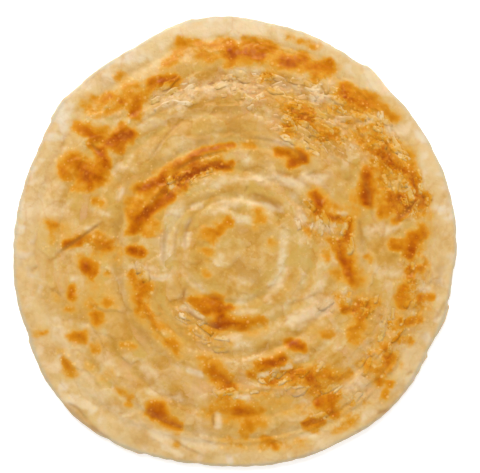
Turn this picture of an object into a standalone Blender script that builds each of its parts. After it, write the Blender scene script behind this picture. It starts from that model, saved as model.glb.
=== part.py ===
"""Paratha: a round, flaky griddle flatbread in one piece.

A buttered rope of layered dough is coiled round an eye, rolled out flat and toasted on both sides.
Seen from above, what is left of the rope is a spiral of low, rounded turns with a groove between
them, then a smooth rim that was pressed thin. The bread lies flat on its underside, and its rim
lifts off the table by about a millimetre here and there.

Units are metres, +Z is up, and the origin is the middle of the underside.
"""

import math

import bmesh
import bpy
from mathutils import Vector, noise

MM = 0.001

# Outline: a circle with swells and dents, each (angle in degrees, height, spread in degrees).
BASE_RADIUS = 92.8 * MM
OUTLINE_SWELLS = (
    (0, 1.5 * MM, 12),
    (50, -1.4 * MM, 12),
    (51, 1.7 * MM, 2.5),
    (67, 1.0 * MM, 5),
    (97, 3.0 * MM, 10),
    (118, -0.8 * MM, 4),
    (141, 1.2 * MM, 4),
    (159, -0.8 * MM, 5),
    (190, 1.2 * MM, 10),
    (204, -1.3 * MM, 3),
    (228, 8.0 * MM, 20),
    (290, 3.6 * MM, 22),
    (315, 2.6 * MM, 9),
    (339, 1.4 * MM, 4),
)

# Thickness: fullest under the eye of the coil, thinnest at the rim.
EYE_THICKNESS = 5.2 * MM
TURN_THICKNESS = 4.3 * MM
RIM_THICKNESS = 2.9 * MM
RIM_FALL = 24 * MM  # distance from the edge over which the bread thins
RIM_LIFT = 1.1 * MM  # most that the edge stands off the table
LIFT_REACH = 13 * MM  # how far in from the edge the lift starts
WAVE_HEIGHT = 0.45 * MM
WAVE_LENGTH = 34 * MM

# Coil: its seam winds out from the eye, counter-clockwise from the +Y side. It is given as its
# distance from the coil's centre at each quarter turn, uneven as a hand-wound rope is.
COIL_CENTRE = Vector((0.0, -4.0 * MM))
COIL_START = math.radians(90)
EYE_RADIUS = 22.5 * MM
SEAM_RADII = (
    22.5 * MM, 29.0 * MM, 34.5 * MM, 33.0 * MM,
    34.0 * MM, 41.0 * MM, 44.0 * MM, 46.0 * MM,
    45.0 * MM, 50.0 * MM, 56.0 * MM, 55.0 * MM,
    58.0 * MM, 63.0 * MM, 70.0 * MM, 72.0 * MM,
    71.0 * MM, 75.0 * MM, 80.0 * MM, 83.0 * MM,
)  # fmt: skip
QUARTERS = 4
COIL_TURNS = len(SEAM_RADII) // QUARTERS
TAIL_START = COIL_TURNS - 0.4  # from here the seam runs out into the rim
RIM_SHARE = 0.895  # the coil's last turn ends at this share of the outline
SEAM_DEPTH = 0.75 * MM
CREST_HEIGHT = 0.55 * MM
FULL_TURN_WIDTH = 9 * MM  # a turn narrower than this is lower too

# Mesh: columns round the bread, and rows across the eye, each turn, the rim and the edge.
COLUMNS = 96
TURN_ROWS = (0.0, 0.14, 0.5, 0.86)
EYE_ROWS = (0.25, 0.5, 0.75, 0.92)
EYE_DISH = 0.45 * MM  # the eye's middle lies this much lower than its shoulder
RIM_ROWS = (0.3, 0.62)
EDGE_ROWS = (  # (distance in from the edge, share of the rim's thickness), over the edge and under
    (1.7 * MM, 1.0),
    (0.5 * MM, 0.84),
    (0.0, 0.5),
    (0.5 * MM, 0.16),
    (1.8 * MM, 0.0),
)
UNDERSIDE_ROWS = (7 * MM, LIFT_REACH)  # distance in from the edge; inside the last one it is flat

CRUST_COLOUR = (0.70, 0.38, 0.11, 1.0)  # golden, between the pale dough and the browned patches
CRUST_ROUGHNESS = 0.45


def smooth_step(share):
    """0 below 0, 1 above 1, and a smooth rise in between."""
    share = min(max(share, 0.0), 1.0)
    return share * share * (3 - 2 * share)


def toward(angle):
    return Vector((math.cos(angle), math.sin(angle)))


def outline_radius(angle):
    """The bread's reach from its origin at that angle, in radians."""
    radius = BASE_RADIUS
    for place, height, spread in OUTLINE_SWELLS:
        gap = (math.degrees(angle) - place + 180) % 360 - 180
        radius += height * math.exp(-0.5 * (gap / spread) ** 2)
    return radius


def outline_point(angle, inset=0.0):
    return toward(angle) * (outline_radius(angle) - inset)


def seam_radius(turn):
    """The seam's distance from the coil's centre, as a Catmull-Rom curve through SEAM_RADII."""
    last = len(SEAM_RADII) - 1
    place = min(max(turn * QUARTERS, 0.0), last)
    knot = min(int(place), last - 1)
    before, start, end, after = (
        SEAM_RADII[min(max(knot + step, 0), last)] for step in (-1, 0, 1, 2)
    )
    t = place - knot
    return 0.5 * (
        2 * start
        + (end - before) * t
        + (2 * before - 5 * start + 4 * end - after) * t**2
        + (3 * start - before - 3 * end + after) * t**3
    )


def seam_point(turn):
    """A point on the seam. Before turn 0 it is the eye's ring, and past the last turn the rim's."""
    angle = COIL_START + 2 * math.pi * turn
    radius = EYE_RADIUS if turn <= 0 else seam_radius(turn)
    on_coil = COIL_CENTRE + toward(angle) * radius
    on_rim = outline_point(angle) * RIM_SHARE
    return on_coil.lerp(on_rim, smooth_step((turn - TAIL_START) / (COIL_TURNS - TAIL_START)))


def edge_distance(point):
    return outline_radius(math.atan2(point.y, point.x)) - point.length


def rim_lift(point):
    """How far the underside stands off the table there."""
    nearness = smooth_step(1 - edge_distance(point) / LIFT_REACH)
    lobes = 0.55 + 0.45 * noise.noise(Vector((point.x, point.y, 0.3)) / WAVE_LENGTH)
    return RIM_LIFT * lobes * nearness


def top_height(point, relief=0.0):
    """The top surface's height there, with the coil's relief added."""
    fullness = smooth_step(edge_distance(point) / RIM_FALL)
    eye = smooth_step(1.4 - (point - COIL_CENTRE).length / EYE_RADIUS)
    thickness = RIM_THICKNESS + (TURN_THICKNESS - RIM_THICKNESS) * fullness
    thickness += (EYE_THICKNESS - TURN_THICKNESS) * eye
    wave = noise.noise(Vector((point.x, point.y, 0.0)) / WAVE_LENGTH) * WAVE_HEIGHT * fullness
    return rim_lift(point) + thickness + wave + relief


def turn_relief(share, width):
    """Height across one turn of the coil: a rounded back between two grooves."""
    back = 1 - (2 * share - 1) ** 4
    return (back * (CREST_HEIGHT + SEAM_DEPTH) - SEAM_DEPTH) * min(1.0, width / FULL_TURN_WIDTH)


def add_ring(mesh, count, place):
    """A closed ring of vertices; place(angle) gives each one's position."""
    step = 2 * math.pi / count
    return [mesh.verts.new(place(COIL_START + step * i)) for i in range(count)]


def add_band(mesh, inner, outer):
    """Faces between two closed rings of equal count, facing up where outer is further out."""
    for i in range(len(inner)):
        after = (i + 1) % len(inner)
        mesh.faces.new((inner[i], outer[i], outer[after], inner[after]))


def add_turns(mesh):
    """The coil, as one spiral strip. Returns its closed first ring, round the eye, and its last.

    Column i crosses one turn of the rope, from the seam there to the seam one turn further out,
    which is the first row of column i + COLUMNS. The rope has no width at either of its ends, so
    all the rows of the first and the last column share one vertex.
    """
    first, last = 0, (COIL_TURNS + 1) * COLUMNS
    seam = {}
    for i in range(first, last + COLUMNS):
        if i == COLUMNS:
            seam[i] = seam[first]
            continue
        point = seam_point(i / COLUMNS - 1)
        depth = turn_relief(0.0, FULL_TURN_WIDTH)
        seam[i] = mesh.verts.new((*point, top_height(point, depth)))
    seam[last + COLUMNS] = seam[last]

    def column(i):
        start, end = seam_point(i / COLUMNS - 1), seam_point(i / COLUMNS)
        if i in (first, last):
            return [seam[i]] * (len(TURN_ROWS) + 1)
        rows = [seam[i]]
        for share in TURN_ROWS[1:]:
            point = start.lerp(end, share)
            height = top_height(point, turn_relief(share, (end - start).length))
            rows.append(mesh.verts.new((*point, height)))
        return [*rows, seam[i + COLUMNS]]

    before = column(first)
    for i in range(first + 1, last + 1):
        after = column(i)
        for row in range(len(TURN_ROWS)):
            corners = (before[row], before[row + 1], after[row + 1], after[row])
            mesh.faces.new(dict.fromkeys(corners))
        before = after
    return (
        [seam[i] for i in range(first, COLUMNS)],
        [seam[i] for i in range(last, last + COLUMNS)],
    )


def add_eye(mesh, ring):
    """The middle of the coil: a low, slightly dished boss inside the first ring."""

    def place(share):
        def at(angle):
            point = COIL_CENTRE + toward(angle) * EYE_RADIUS * share
            shoulder = CREST_HEIGHT * smooth_step((1 - share) / (1 - EYE_ROWS[-1]))
            dish = EYE_DISH * smooth_step(1 - share / EYE_ROWS[-2])
            return (*point, top_height(point, shoulder - dish))

        return at

    outer = ring
    for share in reversed(EYE_ROWS):
        inner = add_ring(mesh, COLUMNS, place(share))
        add_band(mesh, inner, outer)
        outer = inner
    centre = mesh.verts.new((*COIL_CENTRE, top_height(COIL_CENTRE, CREST_HEIGHT - EYE_DISH)))
    for i, vertex in enumerate(outer):
        mesh.faces.new((centre, vertex, outer[(i + 1) % COLUMNS]))


def add_rim(mesh, ring):
    """The smooth pressed rim, over the rounded edge and in under it to the flat underside."""

    def rim_place(share):
        def at(angle):
            inner = outline_point(angle) * RIM_SHARE
            point = inner.lerp(outline_point(angle, EDGE_ROWS[0][0]), share)
            return (*point, top_height(point))

        return at

    def edge_place(inset, share):
        def at(angle):
            point = outline_point(angle, inset)
            return (*point, rim_lift(point) + RIM_THICKNESS * share)

        return at

    inner = ring
    rows = [rim_place(share) for share in RIM_ROWS]
    rows += [edge_place(inset, share) for inset, share in EDGE_ROWS]
    rows += [edge_place(inset, 0.0) for inset in UNDERSIDE_ROWS]
    for place in rows:
        outer = add_ring(mesh, COLUMNS, place)
        add_band(mesh, inner, outer)
        inner = outer
    for vertex in inner:
        vertex.co.z = 0.0
    mesh.faces.new(inner)


def centre_on_underside(mesh):
    """Puts the origin in the middle of the box that the bread fills, on its underside."""
    for axis in (0, 1):
        values = [vertex.co[axis] for vertex in mesh.verts]
        middle = (min(values) + max(values)) / 2
        for vertex in mesh.verts:
            vertex.co[axis] -= middle


def crust_material():
    material = bpy.data.materials.new("toasted_dough")
    material.use_nodes = True
    shader = material.node_tree.nodes["Principled BSDF"]
    shader.inputs["Base Color"].default_value = CRUST_COLOUR
    shader.inputs["Roughness"].default_value = CRUST_ROUGHNESS
    shader.inputs["Metallic"].default_value = 0.0
    return material


def make_paratha():
    mesh = bmesh.new()
    eye_ring, rim_ring = add_turns(mesh)
    add_eye(mesh, eye_ring)
    add_rim(mesh, rim_ring)
    centre_on_underside(mesh)
    bmesh.ops.recalc_face_normals(mesh, faces=mesh.faces)
    data = bpy.data.meshes.new("paratha")
    mesh.to_mesh(data)
    mesh.free()
    data.shade_smooth()
    data.materials.append(crust_material())
    bread = bpy.data.objects.new("paratha", data)
    bpy.context.scene.collection.objects.link(bread)
    return bread


for old in list(bpy.data.objects):
    bpy.data.objects.remove(old)
make_paratha()
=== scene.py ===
"""A paratha just off the griddle: a buttered coil of layered dough, rolled flat and toasted.

Places on the bread are in millimetres from its middle, +X to the right and +Y away from the cook.
"""

import math

import bpy
import numpy as np
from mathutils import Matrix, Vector, noise
from mathutils.bvhtree import BVHTree
from mathutils.kdtree import KDTree


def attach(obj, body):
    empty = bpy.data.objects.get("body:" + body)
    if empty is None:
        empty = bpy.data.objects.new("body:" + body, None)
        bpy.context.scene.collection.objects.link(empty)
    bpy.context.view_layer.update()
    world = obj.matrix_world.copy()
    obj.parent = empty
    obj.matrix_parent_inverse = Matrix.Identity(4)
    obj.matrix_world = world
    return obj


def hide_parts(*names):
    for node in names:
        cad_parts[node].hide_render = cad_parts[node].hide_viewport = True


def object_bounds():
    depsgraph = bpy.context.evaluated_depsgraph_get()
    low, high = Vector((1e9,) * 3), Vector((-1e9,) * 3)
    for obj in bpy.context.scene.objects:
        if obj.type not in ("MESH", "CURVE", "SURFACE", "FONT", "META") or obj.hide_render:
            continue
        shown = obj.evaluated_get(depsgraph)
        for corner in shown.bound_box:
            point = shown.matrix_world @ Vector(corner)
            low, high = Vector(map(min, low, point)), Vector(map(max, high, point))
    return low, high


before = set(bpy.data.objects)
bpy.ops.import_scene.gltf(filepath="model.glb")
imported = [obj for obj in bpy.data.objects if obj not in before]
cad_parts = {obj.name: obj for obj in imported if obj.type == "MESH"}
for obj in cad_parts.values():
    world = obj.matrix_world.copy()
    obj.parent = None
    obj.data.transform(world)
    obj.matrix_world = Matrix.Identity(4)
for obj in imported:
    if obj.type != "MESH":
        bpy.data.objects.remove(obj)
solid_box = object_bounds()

MM = 0.001
low, high = (np.array(corner) for corner in solid_box)
middle = (low + high) / 2
width, depth, height = high - low


# ---------------------------------------------------------------------------------------------
# The table and the light. The bread lies on a plain white board, lit by the pale walls of a
# studio and by one soft window of light on its far side, which rakes across the layers.
# ---------------------------------------------------------------------------------------------
BOARD_SIZE = 6.0
BOARD_WHITE = (0.93, 0.93, 0.93, 1.0)
BREAD_SHARE = 0.932  # of the picture's width that the bread fills
LENS = 85
SENSOR = 36

bpy.ops.object.select_all(action="DESELECT")
bpy.ops.mesh.primitive_plane_add(size=BOARD_SIZE, location=(*middle[:2], low[2] - 0.05 * MM))
board = bpy.context.object
board.name = "white_board"
board_white = bpy.data.materials.new("board_white")
board_white.use_nodes = True
board_shader = board_white.node_tree.nodes["Principled BSDF"]
board_shader.inputs["Base Color"].default_value = BOARD_WHITE
board_shader.inputs["Roughness"].default_value = 0.9
board_shader.inputs["Specular IOR Level"].default_value = 0.1
board_shader.inputs["Emission Color"].default_value = (1.0, 1.0, 1.0, 1.0)
board_shader.inputs["Emission Strength"].default_value = 0.45
board.data.materials.append(board_white)

# Studio walls: white near the table and dark overhead, so that the flat of the bread keeps its colour.
room = bpy.data.worlds.new("studio_room")
bpy.context.scene.world = room
room.use_nodes = True
room_nodes, room_links = room.node_tree.nodes, room.node_tree.links
direction = room_nodes.new("ShaderNodeTexCoord")
split = room_nodes.new("ShaderNodeSeparateXYZ")
ceiling = room_nodes.new("ShaderNodeValToRGB")
ceiling.color_ramp.elements[0].color = (1.0, 1.0, 1.0, 1.0)
ceiling.color_ramp.elements[0].position = 0.3
ceiling.color_ramp.elements[1].color = (0.03, 0.03, 0.03, 1.0)
ceiling.color_ramp.elements[1].position = 0.75
room_links.new(direction.outputs["Generated"], split.inputs[0])
room_links.new(split.outputs["Z"], ceiling.inputs["Fac"])
room_links.new(ceiling.outputs["Color"], room_nodes["Background"].inputs["Color"])
room_nodes["Background"].inputs["Strength"].default_value = 1.0


def softbox(name, place, size, power):
    """A square soft light at that place, turned to the middle of the bread."""
    lamp = bpy.data.lights.new(name, "AREA")
    lamp.shape = "SQUARE"
    lamp.size = size
    lamp.energy = power
    holder = bpy.data.objects.new(name, lamp)
    holder.location = place
    holder.rotation_euler = (-Vector(place)).to_track_quat("-Z", "Y").to_euler()
    bpy.context.scene.collection.objects.link(holder)


softbox("window", (-0.35, 1.35, 1.35), 1.1, 31.0)
softbox("wall_right", (1.4, -0.2, 1.1), 0.7, 4.0)
softbox("wall_near", (-0.5, -1.3, 1.2), 0.7, 4.0)

# The camera looks straight down on the bread.
view_width = width / BREAD_SHARE
camera = bpy.data.objects.new("camera", bpy.data.cameras.new("camera"))
camera.data.lens = LENS
camera.data.sensor_width = SENSOR
camera.data.clip_start = 0.01
camera.location = (
    middle[0] + 2.1 * MM,
    middle[1] + 2.1 * MM,
    high[2] + view_width * LENS / SENSOR,
)
bpy.context.scene.collection.objects.link(camera)
bpy.context.scene.camera = camera
bpy.context.scene.view_settings.view_transform = "Standard"


# ---------------------------------------------------------------------------------------------
# The bread. One rope of flour dough, folded thin with butter, is coiled round an eye, rolled
# flat and toasted dry and then in butter. It starts as the plain solid, whose surface is made
# fine enough to carry layers, creases and blisters; the iron browns what stands proud.
# ---------------------------------------------------------------------------------------------
COIL_CENTRE = (0.0, -4.0)
SKIN_STEP = 0.66 * MM  # distance between neighbouring points of the worked surface
UNDERSIDE_KEPT = 0.07  # share of its points that the plain underside keeps

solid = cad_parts["paratha"]
bread = bpy.data.objects.new("toasted_bread", solid.data.copy())
bpy.context.scene.collection.objects.link(bread)
bread.data.materials.clear()
bpy.context.view_layer.objects.active = bread
bread.select_set(True)
bpy.ops.object.mode_set(mode="EDIT")
bpy.ops.mesh.select_all(action="SELECT")
bpy.ops.mesh.remove_doubles(threshold=0.02 * MM)
bpy.ops.mesh.tris_convert_to_quads(face_threshold=0.7, shape_threshold=1.2)
bpy.ops.object.mode_set(mode="OBJECT")


def finish_with(piece, kind, **settings):
    """Adds that modifier to the piece and applies it."""
    bpy.ops.object.select_all(action="DESELECT")
    piece.select_set(True)
    bpy.context.view_layer.objects.active = piece
    modifier = piece.modifiers.new(kind.lower(), kind)
    for name, value in settings.items():
        setattr(modifier, name, value)
    bpy.ops.object.modifier_apply(modifier=modifier.name)


finish_with(bread, "SUBSURF", levels=2, render_levels=2)
finish_with(bread, "REMESH", mode="VOXEL", voxel_size=SKIN_STEP)
finish_with(bread, "SMOOTH", factor=0.5, iterations=3)


def points_of(piece):
    """The piece's points, in millimetres from the middle of the bread's underside."""
    flat = np.empty(len(piece.data.vertices) * 3, np.float32)
    piece.data.vertices.foreach_get("co", flat)
    return (flat.reshape(-1, 3) - (middle[0], middle[1], low[2])) / MM


def put_points(piece, points):
    moved = points * MM + (middle[0], middle[1], low[2])
    piece.data.vertices.foreach_set("co", moved.astype(np.float32).ravel())
    piece.data.update()


points = points_of(bread)
under = bread.vertex_groups.new(name="underside")
flat_points = (points[:, 2] < 1.2) & (np.hypot(points[:, 0], points[:, 1]) < 85)
under.add([int(i) for i in np.flatnonzero(flat_points)], 1.0, "REPLACE")
kept = 1 - flat_points.mean() * (1 - UNDERSIDE_KEPT)
finish_with(bread, "DECIMATE", ratio=kept, vertex_group="underside", vertex_group_factor=10.0)
bread.vertex_groups.clear()
print("bread points", len(bread.data.vertices), "faces", len(bread.data.polygons))


def ripple(x, y, z):
    """Smooth noise between about -1 and 1 at those places; its waves are about 1 long."""
    places = zip(np.asarray(x, float), np.asarray(y, float), np.asarray(z, float))
    return np.array([noise.noise(place) for place in places])


def step(value):
    """0 below 0, 1 above 1, and a smooth rise in between."""
    value = np.clip(value, 0.0, 1.0)
    return value * value * (3 - 2 * value)


def from_stroke(x, y, stroke):
    """Distance of each place from the straight stroke between two points."""
    x1, y1, x2, y2 = stroke[:4]
    run = max((x2 - x1) ** 2 + (y2 - y1) ** 2, 1e-6)
    share = np.clip(((x - x1) * (x2 - x1) + (y - y1) * (y2 - y1)) / run, 0.0, 1.0)
    return np.hypot(x - x1 - share * (x2 - x1), y - y1 - share * (y2 - y1))


def painted(x, y, strokes, heart, fade):
    """Strokes of (x1, y1, x2, y2, width, strength), run together where they meet.

    Each is full in its heart, that share of its half width, and gone that far outside its edge.
    """
    total = np.zeros(len(x))
    for stroke in strokes:
        half = stroke[4] / 2
        gap = from_stroke(x, y, stroke)
        near = step((half + fade - gap) / (half * (1 - heart) + fade))
        total += (near * stroke[5]) ** 4
    return np.minimum(total**0.25, 1.0)


# Griddle marks, by the part of the bread that they lie on: where each starts and ends, how wide
# it is, and how dark, from 0.4 for golden to 1 for dark brown.
GRIDDLE_MARKS = (
    # far side
    (-23, 84.5, -16, 83.5, 5, 0.66), (-25, 80, -28, 75, 3.5, 0.5), (-8, 85.5, -1, 84.5, 2.2, 0.6),
    (-12, 83, -1, 82.5, 3, 0.65), (-2, 80, 11, 79, 4.5, 0.92), (5, 83, 15, 82, 6, 0.76),
    (-3, 75.5, 6, 75, 3.5, 0.6), (-14, 79, -12, 78.5, 5, 0.65), (-4, 78, 0, 78.5, 4, 0.85),
    (23, 87, 35, 82.5, 2.4, 0.52), (19, 77, 30, 77, 5, 0.8), (20, 75.5, 25, 75, 3.5, 0.9),
    (32, 73.5, 40, 74, 6, 0.86), (34, 70, 34, 68, 4, 0.55), (12, 70, 14, 70, 4.5, 0.66),
    (31, 67, 34, 66.5, 2, 0.5), (19, 60, 23, 59.5, 3, 0.45), (25, 57, 29.5, 56.5, 2.2, 0.6),
    (24.5, 53, 32, 52.5, 5, 0.86), (22.5, 48, 23, 45.5, 4, 0.66), (37, 44.5, 38, 44, 4.5, 0.75),
    (14, 64, 16, 63.5, 2, 0.42),
    # far right
    (46, 65, 47, 61, 6, 0.84), (48, 62, 58, 60, 7, 0.7), (57, 60.5, 67, 52, 6, 0.64),
    (52, 58, 54, 58, 4, 0.76), (43, 54.5, 49, 54.5, 2.4, 0.5), (41, 56, 42.5, 56, 2, 0.5),
    (53, 53, 55, 53, 3, 0.62), (63, 53.5, 65, 52.5, 4, 0.68), (52, 48, 58, 48.6, 2, 0.66),
    (52, 44.5, 54, 44, 3, 0.56), (37, 44, 43, 46, 3.5, 0.8), (43, 43, 44, 42, 2.5, 0.6),
    (60, 43.5, 56.5, 39.5, 3.2, 0.72), (66, 41, 74, 40, 7, 0.46), (61.5, 38.5, 64, 33.5, 4, 0.76),
    (66, 31.5, 70, 30.5, 3.5, 0.8), (74, 37, 74.5, 32, 4, 0.56), (55.7, 30, 55.5, 28.5, 2.5, 0.66),
    (75, 28.5, 75.5, 24, 3, 0.8), (75.5, 24, 77, 20.5, 4, 0.82), (63, 25, 63.5, 22.5, 3, 0.5),
    (56, 28, 55.5, 17, 5.5, 0.98), (50, 19.5, 50, 17.5, 4, 0.5), (61.5, 11.5, 64, 11.2, 2, 0.66),
    (64.5, 14.5, 72, 17.5, 6, 0.75), (66, 18, 70, 18, 4, 0.8), (80, 19, 80.5, 17, 4, 0.86),
    (68, 9, 73, 13.5, 2.5, 0.8), (73, 13.5, 77, 16.5, 2.5, 0.95), (79, 11.5, 82, 11.5, 3, 0.52),
    # right
    (80, 4.5, 75.5, 1.5, 6, 0.82), (74, -1, 73.5, -5, 4, 0.98), (66.5, -1.2, 70, -1.8, 2.6, 0.82),
    (75, -11.5, 79, -11.5, 3.2, 0.76), (74.5, -13, 74.5, -16, 3, 0.8), (56, -6.5, 57, -7, 2.5, 0.45),
    (45.2, -3, 46, -9, 3.5, 0.86), (47, -9, 49, -16, 5, 0.92), (51, -13, 52.5, -14, 3, 0.5),
    (42, -13, 43, -13.5, 3, 0.5), (48, 8.5, 48, 1, 2.4, 0.8), (40, 10, 44, 9.2, 2, 0.78),
    (33.5, 19.5, 36, 16, 5, 0.82), (36, 16, 34.5, 12, 5, 0.92), (30.5, 4, 33, 3.5, 3, 0.45),
    (41, 0.5, 45.5, 0, 2, 0.6), (71, -20.5, 69.8, -27, 3.2, 0.78), (79, -23.5, 82, -23.5, 3, 0.76),
    (79, -27, 80, -28, 3, 0.5), (53, -26, 55, -26.5, 4, 0.66), (57.5, -26, 60.5, -25.5, 2.5, 0.62),
    (46.5, -29.2, 51, -29, 2.4, 0.82), (55.5, -28, 51.5, -36, 4, 0.68), (49.8, -37, 49.5, -41, 3, 0.58),
    (43, -24, 46, -24.5, 4, 0.35), (38, -5, 38.5, -8, 3, 0.45),
    # near right
    (69, -35, 77.5, -33.7, 2.6, 0.75), (69.5, -41.5, 74, -41.5, 2.4, 0.76),
    (65.5, -44, 64.5, -46, 3.5, 0.7), (64.5, -47, 64, -51, 5, 0.78), (67, -50, 69, -51, 4, 0.5),
    (57.5, -53.5, 62, -53.5, 4.5, 0.76), (61.5, -60, 65.5, -60, 2.6, 0.72), (64, -64, 63.8, -66, 2, 0.6),
    (52.5, -52, 54, -51.5, 2, 0.52), (44.5, -56.5, 49, -56, 2.4, 0.6), (42, -58, 44, -58, 2, 0.55),
    (37, -39, 40, -39, 4, 0.46), (55, -47, 58, -47, 2, 0.36), (35.5, -68.7, 43, -65, 3.6, 0.86),
    (40.5, -70, 42, -73, 4.5, 0.82), (36, -68, 38, -70, 3, 0.62), (51, -75, 43.5, -80.5, 2.8, 0.52),
    (47.5, -68.7, 50, -68.7, 2.5, 0.45), (53, -68, 56, -68, 2, 0.36), (24, -43.5, 28, -45, 4, 0.88),
    (22.5, -42, 26, -43, 3, 0.66), (10, -52.5, 20, -49.7, 3, 0.86), (7, -56, 11, -56.5, 2, 0.62),
    (12.5, -58.6, 24, -59.5, 3.6, 0.66), (22, -55.5, 31, -55.5, 3.6, 0.8), (32, -58, 35, -63, 6.5, 0.74),
    (35, -57, 39.5, -57, 4, 0.76), (30, -77.2, 35.5, -76.5, 2.6, 0.82), (30, -79.5, 34, -79.5, 2, 0.4),
    (25.5, -85, 28, -85, 2, 0.46),
    # near side
    (-10, -54, -2.5, -61.5, 5.5, 0.78), (0, -61.5, 1, -62.5, 2.5, 0.5), (-13.5, -49, -12.5, -51, 2.6, 0.5),
    (-4.5, -65.5, -3.5, -68.5, 3.6, 0.6), (-6, -71, 11, -71.8, 4.2, 0.64), (0, -71.5, 4, -72, 3, 0.76),
    (5.5, -73, 6.5, -79, 4.5, 0.66), (3.5, -81, 5, -82, 3, 0.5), (-14, -71.8, -10, -71.8, 3.2, 0.5),
    (13, -84.5, 16.5, -86.5, 5, 0.74), (-32, -70.5, -33.5, -72, 7, 0.9), (-35.5, -71, -29.5, -75, 6.5, 0.84),
    (-28, -76.5, -24, -77.5, 2.8, 0.76), (-25, -82, -24.8, -85.5, 2.6, 0.5),
    # near left
    (-68, -40.3, -64.5, -40.3, 4.2, 0.88), (-58.6, -31.5, -58, -34, 3.8, 0.76), (-59, -44.8, -59, -45.6, 3.2, 0.78),
    (-72, -52, -69.5, -55.5, 4, 0.78), (-62, -53, -61.3, -53.2, 2.4, 0.6), (-84, -38, -80.5, -37.5, 2, 0.45),
    (-74.5, -46.3, -73, -46.5, 2, 0.42), (-53.5, -55, -53, -57.5, 2, 0.5), (-56.5, -58.5, -55.5, -59.5, 2, 0.42),
    (-47.5, -44, -43, -43.8, 1.6, 0.45), (-34.5, -34.5, -32.5, -36.5, 4, 0.6), (-27, -42, -25, -45, 3, 0.66),
    (-48.5, -63.8, -47.5, -64, 2.6, 0.5), (-45, -65.5, -44.8, -68.5, 2.2, 0.5), (-31, -40, -29, -42, 4, 0.45),
    # left
    (-78.5, 7, -76.8, 7, 4.6, 0.7), (-77.8, 1.5, -77.3, 0, 3.6, 0.46), (-58.5, 17.5, -57, 16.5, 3.2, 0.58),
    (-71, -1, -66, 0, 3, 0.78), (-65, 0.5, -62.5, 1.2, 2, 0.66), (-58, 3, -56.5, 2, 3, 0.6),
    (-58, -1.2, -53.5, -1.5, 4.4, 0.8), (-62.5, -10, -61, -13, 5.6, 0.92), (-54.5, -13.3, -53.7, -13.5, 1.8, 0.52),
    (-69, -20.5, -68.8, -22.8, 3, 0.74), (-76.5, -23.5, -75.5, -24, 2.5, 0.34), (-61.5, -26.5, -55, -25.5, 4.5, 0.5),
    (-55, -26.3, -53, -26.5, 3, 0.62), (-71, -29, -68.5, -29, 2, 0.52), (-44.5, -4, -39.5, -4.4, 3.2, 0.96),
    (-44, -13.5, -43, -16, 2.6, 0.62), (-41.5, -19, -36.5, -19, 3.6, 0.74), (-39, -22, -40.5, -28, 4.2, 0.64),
    (-38, -30.5, -36, -32, 3, 0.56),
    # far left
    (-70, 35, -63, 31.5, 5, 0.78), (-64, 31, -62, 25.5, 7, 0.94), (-57, 37, -55, 33, 5.5, 0.9),
    (-60, 29.5, -57, 27, 5, 0.88), (-72, 28.5, -66, 26.5, 4.4, 0.68), (-71.5, 33, -71, 29, 4.5, 0.62),
    (-68, 22.3, -63, 21.8, 2.2, 0.5), (-66, 48.5, -61, 46, 6, 0.78), (-63, 46, -58, 44.5, 4.5, 0.84),
    (-51.5, 43.5, -45, 45, 5, 1.0), (-47.5, 48.5, -46.5, 47.5, 2.6, 0.7), (-55.5, 42.5, -48.5, 40, 4.6, 0.8),
    (-61, 41.5, -57, 38.5, 1.6, 0.75), (-63, 57, -56, 59, 4.6, 0.55), (-53.5, 61, -48, 59, 3.4, 0.74),
    (-58, 53.6, -57, 53.4, 2.2, 0.5), (-54, 55, -52.5, 55, 2.6, 0.6), (-48.5, 70, -45.5, 66, 4.6, 0.5),
    (-47, 63.5, -45, 63, 3, 0.56), (-41, 66, -41, 65, 2.2, 0.58), (-42, 59.5, -42.3, 54, 4.6, 0.88),
    (-39.5, 62, -36, 64.5, 3.6, 0.56), (-35, 67, -26, 68.3, 5, 0.82), (-28.5, 75.5, -26, 78.5, 4, 0.6),
    # the arc that follows the coil's second turn
    (-1.5, 40.5, -8.5, 39, 1.8, 0.8), (-8.5, 39, -17.5, 36.3, 2.0, 0.76), (-17.5, 36.3, -25, 32, 2.2, 0.74),
    (-25, 32, -31, 28, 3, 0.66), (-30, 26, -40, 22.5, 3.2, 0.95), (-40, 16, -43, 12, 2.4, 0.66),
    (-2.5, 32, -8.5, 32.2, 3, 0.97), (-12.5, 31.5, -15.5, 31.8, 4.6, 1.0), (-17, 33, -19, 32, 3, 0.7),
    (-18.5, 28, -20.5, 26.5, 3.6, 0.86), (-22, 23.5, -24, 23, 4, 0.93), (-30, 21.5, -16, 30, 4.5, 0.86), (-25.5, 27, -27, 26, 2.4, 0.8),
    (-28, 19.5, -31, 18, 3.6, 0.84), (-32.5, 16, -38, 11, 5, 0.94), (-38, 11, -42, 6, 5, 0.97),
    (-44, 6, -45.5, 4.3, 2.6, 0.6), (3.5, 40.5, 7.5, 40.2, 1.4, 0.55), (18, 38, 22.5, 37.5, 3.4, 0.74),
    (24.5, 34, 29.5, 35, 4.4, 0.97), (27, 38, 28, 37, 2.6, 0.8), (31, 38.2, 35, 38, 2.4, 0.45),
       # the eye and the turn round it
    (-7.5, 4.2, -3.5, 8.2, 3, 0.66), (-13.5, 3, -10, 5, 3.6, 0.52), (-10, 2.5, -9.5, 0.5, 2.6, 0.55),
    (-12.5, -4.5, -11, -5, 3, 0.52), (-15.5, -3.8, -15, -4.2, 2, 0.42), (-12.5, -12.3, -11.5, -13.5, 2.6, 0.46),
    (9, 12.2, 11, 9.5, 3.6, 0.56), (8.5, 8, 8.5, 6, 2, 0.42), (15, -1, 16, -2, 2.6, 0.46),
    (-16, -26, -8, -25, 6, 0.8), (-13, -30, -7, -28, 5, 0.86), (-6, -28.5, -2.5, -28.5, 2.6, 0.95),
    (-8, -35, 4, -35, 4.6, 0.96), (-6, -32, -4.5, -31.5, 2.5, 1.0), (7.5, -34, 11.5, -34.5, 4, 0.66),
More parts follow.
